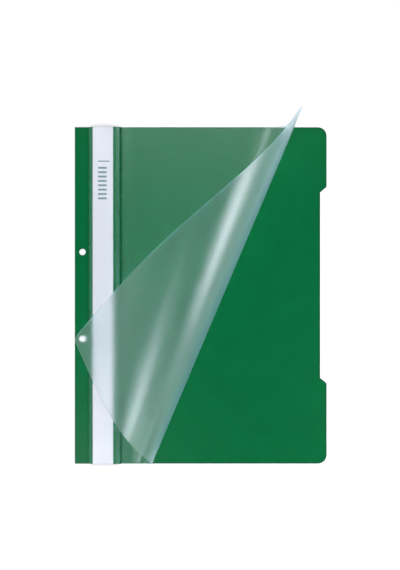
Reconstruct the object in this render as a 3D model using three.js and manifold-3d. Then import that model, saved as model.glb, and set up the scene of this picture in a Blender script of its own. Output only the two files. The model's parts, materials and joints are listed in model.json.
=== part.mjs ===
import * as THREE from 'three';
import { mergeVertices } from 'three/addons/utils/BufferGeometryUtils.js';
import Module from 'manifold-3d';

// Fastener folder for A4 sheets, lying closed on a table with its clear cover rolled back over the strip.
// +X is across the folder to the right, +Y is up the page, +Z is up from the table.
// The origin is the middle of the back cover's underside. Lengths are millimetres, angles are degrees.
// Sizes that end in FROM_LEFT or FROM_FOOT are measured from the folder's left edge or lower edge.

// Covers
const COVER_WIDTH = 232;
const COVER_HEIGHT = 310;
const BACK_THICKNESS = 0.4;
const FILM_THICKNESS = 0.25;
const CORNER_RADIUS = 8;

// Thumb cut in the back cover's free edge
const THUMB_CUT_DEPTH = 6;
const THUMB_CUT_FROM_FOOT = 74;
const THUMB_CUT_LENGTH = 181;
const THUMB_CUT_SLANT = 5;
const THUMB_CUT_ROUNDING = 1.5;

// Filing margin with its two holes
const HOLE_SPACING = 80;
const HOLE_DIAMETER = 6;
const HOLE_FROM_LEFT = 7;
const STRIP_THICKNESS = 0.4;
const FOLD_FROM_LEFT = 12.5;
const CREASE_FROM_LEFT = 42.75;
const LIVING_HINGE_GAP = 0.3;

// Label flap, which arches over the fastener, with its label and pocket
const FLAP_RISE_LENGTH = 6;
const FLAP_FALL_LENGTH = 9;
const FLAP_EDGE_HEIGHT = 1.6;
const FLAP_EDGE_INSET = 0.5;
const LABEL_FROM_LEFT = 16.9;
const LABEL_WIDTH = 18.6;
const LABEL_THICKNESS = 0.2;
const POCKET_STEP = 0.8;

// Front cover: flat on the back cover, then rolled back about lines that fan out from one point
const FILM_DESCENT = 11;
const ROLL_START_FROM_LEFT = 55.5;
const ROLL_START_ANGLE = 70.65;
const ROLL_APEX_REACH = 231;
const ROLL_TURN = 221.5;
const ROLL_ONSET = 0.25;
const ROLL_FADE = 2.65;
const ROLL_CORNER_GAP = 0.8;

// Fastener
const FASTENER_FROM_LEFT = 28.5;
const CARRIER_WIDTH = 25.5;
const CARRIER_LENGTH = 150;
const CARRIER_THICKNESS = 0.4;
const CARRIER_LAND = 4.5;
const PRONG_WIDTH = 4.8;
const PRONG_LENGTH = 24;
const PRONG_THICKNESS = 0.3;
const BAR_WIDTH = 10;
const BAR_LENGTH = 114;
const BAR_THICKNESS = 0.7;
const BAR_FLANGE_WIDTH = 1.2;
const BAR_FLANGE_THICKNESS = 0.35;
const SLOT_PLAY = 0.3;
const LOCK_LENGTH = 8;
const LOCK_PARKED_FROM_MIDDLE = 50;
const LOCK_THICKNESS = 0.4;
const LOCK_LIP_THICKNESS = 0.25;
const LOCK_PLAY = 0.15;

// Clearances between pieces that lie on or slide along each other
const LAY_GAP = 0.05;
const FLAP_GAP = 0.3;

const left = -COVER_WIDTH / 2;
const foot = -COVER_HEIGHT / 2;
const degrees = Math.PI / 180;

// Heights of the stack under the label flap, from the table up
const prongBaseZ = BACK_THICKNESS + LAY_GAP;
const carrierZ = prongBaseZ + PRONG_THICKNESS + LAY_GAP;
const barZ = carrierZ + CARRIER_THICKNESS + LAY_GAP;
const barTop = barZ + BAR_THICKNESS;
const prongZ = barTop + LAY_GAP;
const lockPlateZ = prongZ + PRONG_THICKNESS + LOCK_PLAY;
const lockTop = lockPlateZ + LOCK_THICKNESS;
const flapCrownZ = lockTop + FLAP_GAP;
const hingeZ = BACK_THICKNESS + STRIP_THICKNESS;
const stripTop = flapCrownZ + STRIP_THICKNESS + 3 * LAY_GAP + LABEL_THICKNESS + FILM_THICKNESS;
const filmRestZ = BACK_THICKNESS + LAY_GAP + FILM_THICKNESS / 2;

const wasm = await Module();
wasm.setup();

const finishes = {
  greenSheet: new THREE.MeshStandardMaterial({ color: 0x046e3a, roughness: 0.5, metalness: 0 }),
  clearFilm: new THREE.MeshStandardMaterial({
    color: 0xdfeee9, roughness: 0.3, metalness: 0, transparent: true, opacity: 0.35, side: THREE.DoubleSide,
  }),
  labelPaper: new THREE.MeshStandardMaterial({ color: 0xe4e7f0, roughness: 0.8, metalness: 0 }),
  prongSteel: new THREE.MeshStandardMaterial({ color: 0xc9c4b4, roughness: 0.35, metalness: 1 }),
  whitePlastic: new THREE.MeshStandardMaterial({ color: 0xe9ebea, roughness: 0.45, metalness: 0 }),
};

const folder = new THREE.Group();

function addPiece(name, geometry, finish) {
  const mesh = new THREE.Mesh(geometry, finish);
  mesh.name = name;
  folder.add(mesh);
}

// A step from 0 to 1 with level ends
function smoothStep(share) {
  const s = Math.min(1, Math.max(0, share));
  return s * s * (3 - 2 * s);
}

// An outline through corner points, each { x, y, radius }, with round corners
function roundedOutline(corners) {
  const shape = new THREE.Shape();
  const arcHandle = 0.5523;
  const point = corners.map((c) => new THREE.Vector2(c.x, c.y));
  corners.forEach((corner, i) => {
    const here = point[i];
    const before = point[(i + corners.length - 1) % corners.length].clone().sub(here).normalize();
    const after = point[(i + 1) % corners.length].clone().sub(here).normalize();
    const radius = corner.radius ?? 0;
    const from = here.clone().addScaledVector(before, radius);
    if (i === 0) shape.moveTo(from.x, from.y);
    else shape.lineTo(from.x, from.y);
    if (radius > 0) {
      const to = here.clone().addScaledVector(after, radius);
      const a = from.clone().addScaledVector(before, -radius * arcHandle);
      const b = to.clone().addScaledVector(after, -radius * arcHandle);
      shape.bezierCurveTo(a.x, a.y, b.x, b.y, to.x, to.y);
    }
  });
  return shape;
}

function polygon(points) {
  return new THREE.Shape(points.map(([x, y]) => new THREE.Vector2(x, y)));
}

// A flat sheet with its outline seen from above
function sheetFlat(shape, lowZ, thickness, curveSegments = 6) {
  const geometry = new THREE.ExtrudeGeometry(shape, { depth: thickness, bevelEnabled: false, curveSegments });
  return geometry.translate(0, 0, lowZ);
}

// A section in X and Z, run along Y for a length about the middle height
function runAlongY(section, length, middleY = 0) {
  const geometry = new THREE.ExtrudeGeometry(section, { depth: length, bevelEnabled: false });
  return geometry.rotateX(Math.PI / 2).translate(0, middleY + length / 2, 0);
}

// A section in Y and Z, run along X for a width about a middle
function runAlongX(section, width, middleX) {
  const geometry = new THREE.ExtrudeGeometry(section, { depth: width, bevelEnabled: false });
  const turn = new THREE.Matrix4().makeBasis(
    new THREE.Vector3(0, 1, 0), new THREE.Vector3(0, 0, 1), new THREE.Vector3(1, 0, 0),
  );
  return geometry.applyMatrix4(turn).translate(middleX - width / 2, 0, 0);
}

function solidOf(geometry) {
  const bare = geometry.clone();
  bare.deleteAttribute('normal');
  bare.deleteAttribute('uv');
  const merged = mergeVertices(bare, 1e-4);
  return new wasm.Manifold(new wasm.Mesh({
    numProp: 3,
    vertProperties: new Float32Array(merged.attributes.position.array),
    triVerts: new Uint32Array(merged.index.array),
  }));
}

function geometryOf(solid) {
  const mesh = solid.getMesh();
  const geometry = new THREE.BufferGeometry();
  geometry.setAttribute('position', new THREE.BufferAttribute(new Float32Array(mesh.vertProperties), 3));
  geometry.setIndex(new THREE.BufferAttribute(new Uint32Array(mesh.triVerts), 1));
  return geometry;
}

// Both filing holes, as paths in a sheet's outline
function addFilingHoles(shape) {
  for (const side of [-1, 1]) {
    const hole = new THREE.Path();
    hole.absarc(left + HOLE_FROM_LEFT, side * HOLE_SPACING / 2, HOLE_DIAMETER / 2, 0, 2 * Math.PI, true);
    shape.holes.push(hole);
  }
}

// Back cover
function backCover() {
  const right = left + COVER_WIDTH;
  const top = foot + COVER_HEIGHT;
  const cutFoot = foot + THUMB_CUT_FROM_FOOT;
  const cutTop = cutFoot + THUMB_CUT_LENGTH;
  const cutX = right - THUMB_CUT_DEPTH;
  const shape = roundedOutline([
    { x: left, y: foot },
    { x: right, y: foot, radius: CORNER_RADIUS },
    { x: right, y: cutFoot, radius: THUMB_CUT_ROUNDING },
    { x: cutX, y: cutFoot + THUMB_CUT_SLANT, radius: THUMB_CUT_ROUNDING },
    { x: cutX, y: cutTop - THUMB_CUT_SLANT, radius: THUMB_CUT_ROUNDING },
    { x: right, y: cutTop, radius: THUMB_CUT_ROUNDING },
    { x: right, y: top, radius: CORNER_RADIUS },
    { x: left, y: top },
  ]);
  addFilingHoles(shape);
  return sheetFlat(shape, 0, BACK_THICKNESS, 8);
}

// Filing margin: the part of the front strip that is welded to the back cover
function filingMargin() {
  const edge = left + FOLD_FROM_LEFT - LIVING_HINGE_GAP / 2;
  const shape = polygon([[left, foot], [edge, foot], [edge, -foot], [left, -foot]]);
  addFilingHoles(shape);
  return sheetFlat(shape, BACK_THICKNESS, STRIP_THICKNESS, 8);
}

// Underside of the label flap at a distance from the left edge
const flapStart = FOLD_FROM_LEFT + LIVING_HINGE_GAP / 2;
const flapEnd = CREASE_FROM_LEFT - FLAP_EDGE_INSET;
function flapUnderside(fromLeft) {
  const rise = smoothStep((fromLeft - flapStart) / FLAP_RISE_LENGTH);
  const fall = smoothStep((fromLeft - (flapEnd - FLAP_FALL_LENGTH)) / FLAP_FALL_LENGTH);
  return BACK_THICKNESS + (flapCrownZ - BACK_THICKNESS) * rise - (flapCrownZ - FLAP_EDGE_HEIGHT) * fall;
}

// Height of the pocket film's underside over the flap's top: it steps up over the label
function pocketLift(fromLeft) {
  const onto = smoothStep((fromLeft - (LABEL_FROM_LEFT - POCKET_STEP)) / POCKET_STEP);
  const off = smoothStep((fromLeft - (LABEL_FROM_LEFT + LABEL_WIDTH)) / POCKET_STEP);
  return LAY_GAP + (LABEL_THICKNESS + 2 * LAY_GAP) * (onto - off);
}

// A thin strip whose underside follows a height, from one distance to another, over the whole height
function archedStrip(from, to, underside, thickness, steps) {
  const lower = [];
  for (let i = 0; i <= steps; i += 1) {
    const x = from + (to - from) * i / steps;
    lower.push([left + x, underside(x)]);
  }
  const upper = lower.map(([x, z]) => [x, z + thickness]).reverse();
  return runAlongY(polygon([...lower, ...upper]), COVER_HEIGHT);
}

const overFlap = (x) => flapUnderside(x) + STRIP_THICKNESS;
const labelUnderside = (x) => overFlap(x) + LAY_GAP;
const pocketUnderside = (x) => overFlap(x) + pocketLift(x);
const pocketStart = flapStart + LIVING_HINGE_GAP;
const pocketEnd = CREASE_FROM_LEFT - LIVING_HINGE_GAP / 2;

// Front cover: the film's middle surface, from distances measured on the flat sheet
const coverStart = CREASE_FROM_LEFT + LIVING_HINGE_GAP / 2;
const creaseZ = pocketUnderside(pocketEnd) + FILM_THICKNESS / 2;
const rollSteps = 360;

// The rulings' common point, in distances from the left edge and the lower edge
const apex = new THREE.Vector2(
  ROLL_START_FROM_LEFT - ROLL_APEX_REACH * Math.cos(ROLL_START_ANGLE * degrees),
  -ROLL_APEX_REACH * Math.sin(ROLL_START_ANGLE * degrees),
);
const rollSpan = ROLL_START_ANGLE * degrees - Math.atan2(-apex.y, COVER_WIDTH - apex.x);

// How fast the film turns at a share of the roll: it starts quickly and fades towards the free corner
const turnShape = (share) => share ** ROLL_ONSET * (1 - share) ** ROLL_FADE;

// Direction of each ruling and the film's normal along it, at even steps through the roll
function rollFrames() {
  const start = ROLL_START_ANGLE * degrees;
  const along = new THREE.Vector3(Math.cos(start), Math.sin(start), 0);
  const across = new THREE.Vector3(Math.sin(start), -Math.cos(start), 0);
  const normal = new THREE.Vector3(0, 0, 1);
  const step = rollSpan / rollSteps;
  const middles = Array.from({ length: rollSteps }, (_, i) => turnShape((i + 0.5) / rollSteps));
  const scale = ROLL_TURN * degrees / (step * middles.reduce((sum, m) => sum + m, 0));
  const frames = [{ along: along.clone(), normal: normal.clone() }];
  for (const middle of middles) {
    const axis = normal.clone().addScaledVector(along, middle * scale);
    const angle = -axis.length() * step;
    axis.normalize();
    for (const vector of [along, across, normal]) vector.applyAxisAngle(axis, angle);
    frames.push({ along: along.clone(), normal: normal.clone() });
  }
  return frames;
}

const frames = rollFrames();

function rolledPoint(fromLeft, fromFoot, side) {
  const dx = fromLeft - apex.x;
  const dy = fromFoot - apex.y;
  const share = (ROLL_START_ANGLE * degrees - Math.atan2(dy, dx)) / rollSpan;
  const offset = side * FILM_THICKNESS / 2;
  const point = new THREE.Vector3(fromLeft, fromFoot, offset);
  if (share > 0) {
    const place = Math.min(share, 1) * rollSteps;
    const low = Math.min(Math.floor(place), rollSteps - 1);
    const part = place - low;
    const along = frames[low].along.clone().lerp(frames[low + 1].along, part);
    const normal = frames[low].normal.clone().lerp(frames[low + 1].normal, part);
    point.set(apex.x, apex.y, 0).addScaledVector(along, Math.hypot(dx, dy)).addScaledVector(normal, offset);
  }
  return { point, share: Math.max(0, share) };
}

// The free corner is held clear of the strip: the lift grows with the square of the share of the roll
const cornerZ = filmRestZ + rolledPoint(COVER_WIDTH, 0, 0).point.z;
const cornerLift = stripTop + ROLL_CORNER_GAP - cornerZ;

function filmPoint(fromLeft, fromFoot, side) {
  const { point, share } = rolledPoint(fromLeft, fromFoot, side);
  const descent = (creaseZ - filmRestZ) * (1 - smoothStep((fromLeft - coverStart) / FILM_DESCENT));
  point.x += left;
  point.y += foot;
  point.z += filmRestZ + cornerLift * share ** 2 + descent;
  return point;
}

// Places across or up a sheet: even steps between, and closer ones in the round corners
function gridPlaces(from, to, steps, roundStart, roundEnd) {
  const inner = [];
  const low = roundStart ? from + CORNER_RADIUS : from;
  const high = roundEnd ? to - CORNER_RADIUS : to;
  for (let i = 0; i <= steps; i += 1) inner.push(low + (high - low) * i / steps);
  const arc = [0.04, 0.16, 0.36, 0.65].map((share) => share * CORNER_RADIUS);
  const start = roundStart ? [from, ...arc.map((a) => from + a)] : [];
  const end = roundEnd ? [...arc.map((a) => to - a).reverse(), to] : [];
  return [...start, ...inner, ...end];
}

function frontCover() {
  const rows = gridPlaces(0, COVER_HEIGHT, 20, true, true);
  const columns = 34;
  const rowCount = rows.length;
  const positions = [];
  for (const side of [1, -1]) {
    for (const y of rows) {
      const fromEnd = Math.min(y, COVER_HEIGHT - y);
      const short = Math.max(0, CORNER_RADIUS - fromEnd);
      const end = COVER_WIDTH - CORNER_RADIUS + Math.sqrt(CORNER_RADIUS ** 2 - short ** 2);
      for (let i = 0; i <= columns; i += 1) {
        const x = coverStart + (end - coverStart) * i / columns;
        positions.push(...filmPoint(x, y, side).toArray());
      }
    }
  }
  const width = columns + 1;
  const at = (side, row, column) => (side * rowCount + row) * width + column;
  const faces = [];
  for (let r = 0; r + 1 < rowCount; r += 1) {
    for (let c = 0; c < columns; c += 1) {
      faces.push(at(0, r, c), at(0, r, c + 1), at(0, r + 1, c + 1));
      faces.push(at(0, r, c), at(0, r + 1, c + 1), at(0, r + 1, c));
      faces.push(at(1, r, c), at(1, r + 1, c + 1), at(1, r, c + 1));
      faces.push(at(1, r, c), at(1, r + 1, c), at(1, r + 1, c + 1));
    }
  }
  const rim = [];
  for (let c = 0; c < columns; c += 1) rim.push([0, c]);
  for (let r = 0; r + 1 < rowCount; r += 1) rim.push([r, columns]);
  for (let c = columns; c > 0; c -= 1) rim.push([rowCount - 1, c]);
  for (let r = rowCount - 1; r > 0; r -= 1) rim.push([r, 0]);
  rim.forEach(([r, c], i) => {
    const [nextRow, nextColumn] = rim[(i + 1) % rim.length];
    const a = at(0, r, c);
    const b = at(0, nextRow, nextColumn);
    const below = at(1, r, c);
    const belowNext = at(1, nextRow, nextColumn);
    faces.push(a, below, belowNext, a, belowNext, b);
  });
  const geometry = new THREE.BufferGeometry();
  geometry.setAttribute('position', new THREE.BufferAttribute(new Float32Array(positions), 3));
  geometry.setIndex(faces);
  return geometry;
}

// Fastener
const fastenerX = left + FASTENER_FROM_LEFT;
const prongRootY = HOLE_SPACING / 2;
const cutThrough = 1;
const slotWidth = PRONG_WIDTH + 2 * SLOT_PLAY;
const slotLow = prongRootY - SLOT_PLAY;
const slotHigh = prongRootY + PRONG_THICKNESS + SLOT_PLAY;

// Two slots at the prongs' roots, cut through whatever lies between two heights
function cutProngSlots(geometry, lowZ, highZ) {
  const halfWidth = slotWidth / 2;
  const slot = (side) => polygon([
    [fastenerX - halfWidth, side * slotLow],
    [fastenerX + halfWidth, side * slotLow],
    [fastenerX + halfWidth, side * slotHigh],
    [fastenerX - halfWidth, side * slotHigh],
  ]);
  let solid = solidOf(geometry);
  for (const side of [-1, 1]) {
    solid = solid.subtract(solidOf(sheetFlat(slot(side), lowZ, highZ - lowZ)));
  }
  return geometryOf(solid);
}

// Carrier: two lands lie welded on the back cover and the middle bridges the fastener strip
function carrierStrip() {
  const half = CARRIER_WIDTH / 2;
  const inner = half - CARRIER_LAND;
  const landTop = BACK_THICKNESS + CARRIER_THICKNESS;
  const top = carrierZ + CARRIER_THICKNESS;
  const x = (offset) => fastenerX + offset;
  const section = polygon([
    [x(-half), BACK_THICKNESS], [x(-inner), BACK_THICKNESS], [x(-inner + CARRIER_THICKNESS), carrierZ],
    [x(inner - CARRIER_THICKNESS), carrierZ], [x(inner), BACK_THICKNESS], [x(half), BACK_THICKNESS],
    [x(half), landTop], [x(inner), landTop], [x(inner - CARRIER_THICKNESS), top],
    [x(-inner + CARRIER_THICKNESS), top], [x(-inner), landTop], [x(-half), landTop],
  ]);
  return cutProngSlots(runAlongY(section, CARRIER_LENGTH), BACK_THICKNESS - cutThrough, top + cutThrough);
}

// Base of the fastener strip, with the two stubs that come up through the slots
function prongBase() {
  const out = prongRootY + PRONG_THICKNESS;
  const stubTop = prongZ - LAY_GAP;
  const baseTop = prongBaseZ + PRONG_THICKNESS;
  const section = polygon([
    [-out, prongBaseZ], [out, prongBaseZ], [out, stubTop], [prongRootY, stubTop],
    [prongRootY, baseTop], [-prongRootY, baseTop], [-prongRootY, stubTop], [-out, stubTop],
  ]);
  return runAlongX(section, PRONG_WIDTH, fastenerX);
}

// A prong folded flat towards the middle, with a round tip
function prong(side) {
  const half = PRONG_WIDTH / 2;
  const root = prongRootY - LAY_GAP;
  const tip = root - PRONG_LENGTH;
  const shape = roundedOutline([
    { x: fastenerX - half, y: tip, radius: half },
    { x: fastenerX + half, y: tip, radius: half },
    { x: fastenerX + half, y: root },
    { x: fastenerX - half, y: root },
  ]);
  const geometry = sheetFlat(shape, prongZ, PRONG_THICKNESS);
  return side > 0 ? geometry : geometry.rotateZ(Math.PI).translate(2 * fastenerX, 0, 0);
}

// Compressor bar: a flat web with thin flanges that the locks grip
function compressorBar() {
  const half = BAR_WIDTH / 2;
  const web = half - BAR_FLANGE_WIDTH;
  const flangeZ = barTop - BAR_FLANGE_THICKNESS;
  const x = (offset) => fastenerX + offset;
  const section = polygon([
    [x(-web), barZ], [x(web), barZ], [x(web), flangeZ], [x(half), flangeZ],
    [x(half), barTop], [x(-half), barTop], [x(-half), flangeZ], [x(-web), flangeZ],
  ]);
  return cutProngSlots(runAlongY(section, BAR_LENGTH), barZ - cutThrough, barTop + cutThrough);
}

// A slide lock: a plate over the prong, with sides that hook under the bar's flanges
function slideLock(side) {
  const inside = BAR_WIDTH / 2 + LOCK_PLAY;
  const outside = inside + LOCK_THICKNESS;
  const lipEnd = BAR_WIDTH / 2 - BAR_FLANGE_WIDTH + LOCK_PLAY;
  const lipTop = barTop - BAR_FLANGE_THICKNESS - LAY_GAP;
  const lipZ = lipTop - LOCK_LIP_THICKNESS;
  const x = (offset) => fastenerX + offset;
  const section = polygon([
    [x(-outside), lipZ], [x(-lipEnd), lipZ], [x(-lipEnd), lipTop], [x(-inside), lipTop],
    [x(-inside), lockPlateZ], [x(inside), lockPlateZ], [x(inside), lipTop], [x(lipEnd), lipTop],
    [x(lipEnd), lipZ], [x(outside), lipZ], [x(outside), lockTop], [x(-outside), lockTop],
  ]);
  return runAlongY(section, LOCK_LENGTH, side * LOCK_PARKED_FROM_MIDDLE);
}

addPiece('back_cover', backCover(), finishes.greenSheet);
addPiece('filing_margin', filingMargin(), finishes.greenSheet);
const flap = archedStrip(flapStart, flapEnd, flapUnderside, STRIP_THICKNESS, 44);
addPiece('label_flap', flap, finishes.greenSheet);
const labelEnd = LABEL_FROM_LEFT + LABEL_WIDTH;
const label = archedStrip(LABEL_FROM_LEFT, labelEnd, labelUnderside, LABEL_THICKNESS, 28);
addPiece('label_insert', label, finishes.labelPaper);
const pocket = archedStrip(pocketStart, pocketEnd, pocketUnderside, FILM_THICKNESS, 60);
addPiece('pocket_film', pocket, finishes.clearFilm);
addPiece('front_cover', frontCover(), finishes.clearFilm);
addPiece('carrier_strip', carrierStrip(), finishes.greenSheet);
addPiece('prong_base', prongBase(), finishes.prongSteel);
addPiece('prong_upper', prong(1), finishes.prongSteel);
addPiece('prong_lower', prong(-1), finishes.prongSteel);
addPiece('compressor_bar', compressorBar(), finishes.whitePlastic);
addPiece('slide_lock_upper', slideLock(1), finishes.whitePlastic);
addPiece('slide_lock_lower', slideLock(-1), finishes.whitePlastic);

export default folder;
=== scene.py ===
"""Fastener folder for A4 sheets: its finishes, its clear film and a studio, made around the packed model.

Lengths are metres. +X is across the folder to its free edge, +Y is up the page and +Z is up from the table.
"""

import json
import math

import bmesh
import bpy
import numpy as np
from bpy.props import FloatProperty, FloatVectorProperty, IntProperty, PointerProperty
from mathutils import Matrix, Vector


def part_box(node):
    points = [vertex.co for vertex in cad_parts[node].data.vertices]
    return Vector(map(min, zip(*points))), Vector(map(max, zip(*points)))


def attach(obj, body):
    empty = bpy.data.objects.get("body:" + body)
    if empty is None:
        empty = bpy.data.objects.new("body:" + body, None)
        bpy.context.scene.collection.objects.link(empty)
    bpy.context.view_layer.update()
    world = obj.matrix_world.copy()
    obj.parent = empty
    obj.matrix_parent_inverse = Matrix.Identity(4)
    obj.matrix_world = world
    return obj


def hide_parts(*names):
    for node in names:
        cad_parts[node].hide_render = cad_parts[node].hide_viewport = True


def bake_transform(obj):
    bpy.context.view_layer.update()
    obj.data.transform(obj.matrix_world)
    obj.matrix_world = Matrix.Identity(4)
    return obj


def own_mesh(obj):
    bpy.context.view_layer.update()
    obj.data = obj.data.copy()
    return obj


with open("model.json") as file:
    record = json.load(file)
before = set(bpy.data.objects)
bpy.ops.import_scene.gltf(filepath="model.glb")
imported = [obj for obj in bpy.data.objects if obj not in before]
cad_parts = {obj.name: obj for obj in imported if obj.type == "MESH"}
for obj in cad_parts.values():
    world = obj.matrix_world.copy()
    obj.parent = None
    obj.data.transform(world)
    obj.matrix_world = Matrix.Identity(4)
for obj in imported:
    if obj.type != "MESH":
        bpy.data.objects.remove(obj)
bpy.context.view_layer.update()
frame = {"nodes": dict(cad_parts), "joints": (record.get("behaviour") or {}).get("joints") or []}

bl_info = {
    "name": "Fastener Folder",
    "version": (1, 0, 0),
    "blender": (4, 5, 0),
    "location": "View3D > Sidebar > Folder",
    "description": "Builds the sheets, the rolled film, the fastener and the studio of a fastener folder",
    "category": "Object",
}

MM = 0.001

# Distances under which vertices are joined, in a new mesh and in a node of the frame
MERGE = 1e-7
TOUCH = 1e-6

# Widest angle that shades smoothly, and least angle that the frame's nodes have softened
SMOOTH_ANGLE = math.radians(50)
BEVEL_ANGLE = math.radians(40)

# Turns round a sheet's cut edge in degrees, and the least share that limits the inset at a sharp corner
EDGE_TURNS = (30, 60, 90)
LEAST_MITRE = 0.35

# Length of a strip's band inside each rounded end, which keeps the shading of the rest level
END_BAND = 0.6 * MM

# How far a strip's side points stand from the middle of its edge, as a share of the thickness
SIDE_SHARE = 0.25

# How far each face of a strip draws in at its ends at most, as a share of half the thickness
END_SHARE = 0.5

# Rounding of the label's and the pocket's edges
THIN_ROUNDING = 0.04 * MM

# Powers of the sine that give a bead's arch and a rib's, where less is fuller, and the steps of a rib
ARCH_FULLNESS = 0.6
RIB_FULLNESS = 0.7
RIB_STEPS = 6

# Dark beads over the living hinge and the film's crease, painted shade in these folds, and the pressed band
# of the pocket's weld
BEAD_GAP = 0.005 * MM
HINGE_HALF = 0.5 * MM
HINGE_RISE = 0.05 * MM
CREASE_HALF = 0.6 * MM
CREASE_RISE = 0.08 * MM
SEAM_GAP = 0.004 * MM
SEAM_HEIGHT = 0.05 * MM
SEAM_ROUNDING = 0.02 * MM

# Width of the margin's rim, a band of painted edge shade, as a share of the back cover's
MARGIN_RIM = 0.6

# Points round each free corner of the film
CORNER_POINTS = 13

# Ribs of the prongs, the bar and the locks; places are in millimetres from the middle
PRONG_BEVEL = 0.05 * MM
PRONG_RIB_HALF = 0.55 * MM
PRONG_RIB_END = 4 * MM
PRONG_RIB_RISE = 0.1 * MM
BAR_RIB_INSET = 1.6 * MM
BAR_RIB_HALF = 0.5 * MM
BAR_RIB_RISE = 0.16 * MM
BAR_RIB_PLACES = range(-12, 13, 3)
GRIP_INSET = 1.0 * MM
GRIP_HALF = 0.4 * MM
GRIP_RISE = 0.14 * MM
GRIP_PLACES = (-2, 0, 2)

# The carrier's thickness, and the weld marks in a row along each of its edges
CARRIER_THICKNESS = 0.4 * MM
MARK_INSET = 0.9 * MM
MARK_LENGTH = 2.4 * MM
MARK_HALF = 0.9 * MM
MARK_RISE = 0.06 * MM
MARK_STEP = 4.2 * MM
MARKS_EACH_WAY = 17

# The label's print, from the folder's left edge and foot: a block of stripes and a rule over it
PRINT_LEFT = 21.9 * MM
STRIPES_RIGHT = 29.7 * MM
STRIPES_FOOT = 243 * MM
STRIPES_TOP = 273 * MM
STRIPE_PITCH = 4 * MM
STRIPE_LEVEL = 0.2
RULE_RIGHT = 32.4 * MM
RULE_FOOT = 277.6 * MM
RULE_TOP = 278.5 * MM
PRINT_SOFT = 0.15 * MM

# The film seen at a slant: how steeply its haze and its mirroring grow, and how far
HAZE_POWER = 2.4
HAZE_GAIN = 0.50
MIRROR_POWER = 5.0
MIRROR_GAIN = 0.90

# Share of lamp light that passes each face of the film, in red, green and blue
FILM_SHADOW = (0.88, 0.89, 0.89, 1)

# Studio: elevations in degrees between which the world darkens, sensor width in millimetres and the floor
PALE_UNDER = 22
DARK_OVER = 48
SENSOR_WIDTH = 36
FLOOR_GAP = 0.05 * MM
FLOOR_PAINT = (0.76, 0.76, 0.77, 1)

BACK_LOW, BACK_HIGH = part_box("back_cover")
MARGIN_LOW, MARGIN_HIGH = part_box("filing_margin")
FLAP_LOW, FLAP_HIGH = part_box("label_flap")
LABEL_LOW, LABEL_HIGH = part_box("label_insert")
POCKET_LOW, POCKET_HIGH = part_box("pocket_film")
COVER_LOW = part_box("front_cover")[0]
BAR_LOW, BAR_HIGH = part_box("compressor_bar")
CARRIER_LOW, CARRIER_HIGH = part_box("carrier_strip")

LEFT = BACK_LOW.x
FOOT = BACK_LOW.y
WIDTH = BACK_HIGH.x - BACK_LOW.x
HEIGHT = BACK_HIGH.y - BACK_LOW.y


def joint(name):
    """The joint of that name in the packed record."""
    return next(j for j in frame["joints"] if j["name"] == name)


# Colours of the lamps: plain for the two large ones, cool for those placed for the film's highlights
PLAIN = (1.0, 1.0, 1.0)
COOL = (0.87, 0.86, 1.0)

# Each lamp: where it is aimed, azimuth from +X towards +Y, elevation, distance, width, height, watts, colour
LAMPS = {
    "top_softbox": ((0, 0, 0.02), 80, 48, 1.2, 0.8, 0.5, 4.0, PLAIN),
    "foot_softbox": ((0, 0, 0.02), -103, 39, 1.2, 0.8, 0.5, 4.2, PLAIN),
    "right_strip": ((0.012, 0.031, 0.055), -23, 38, 0.7, 0.29, 0.24, 2.05, COOL),
    "left_box": ((-0.05, -0.083, 0.042), -131, 60, 1.0, 0.28, 0.2, 2.0, COOL),
    "back_box": ((0.056, 0.143, 0.003), 139, 48, 1.0, 0.25, 0.14, 1.0, COOL),
}

FOLD = Vector(joint("strip_fold")["pos_m"])
CREASE = Vector(joint("cover_crease")["pos_m"])


def length(name, text, default, low=0.0):
    """A length that a user may set, in metres."""
    return FloatProperty(name=name, description=text, default=default, min=low, unit="LENGTH", precision=5)


def colour(name, text, default):
    """A colour that a user may set, as linear red, green and blue."""
    return FloatVectorProperty(name=name, description=text, default=default, min=0, max=1, size=3,
                               subtype="COLOR")


class FolderSheetSizes(bpy.types.PropertyGroup):
    """Sizes of the green sheets' outlines and edges"""

    corner: length("Corner radius", "Radius of the free corners", 8 * MM)
    cut_depth: length("Thumb cut depth", "How far the thumb cut goes into the free edge", 6 * MM)
    cut_foot: length("Thumb cut start", "Height of the thumb cut's lower end over the foot", 74 * MM)
    cut_length: length("Thumb cut length", "Length of the thumb cut along the free edge", 181 * MM)
    cut_slant: length("Thumb cut slant", "Length of each slanted end of the thumb cut", 5 * MM)
    cut_rounding: length("Thumb cut rounding", "Radius of the thumb cut's corners", 1.5 * MM)
    hole: length("Filing hole", "Diameter of the filing holes", 6 * MM)
    hole_spacing: length("Hole spacing", "Distance between the filing holes", 80 * MM)
    hole_inset: length("Hole inset", "Distance of the filing holes from the left edge", 7 * MM)
    # The rim is painted shade: a band of darker green along each cut edge
    rim: length("Rim", "Width of the pressed rim along each cut edge", 0.9 * MM)
    rounding: length("Edge rounding", "Radius of a sheet's cut edge", 0.12 * MM)


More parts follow.
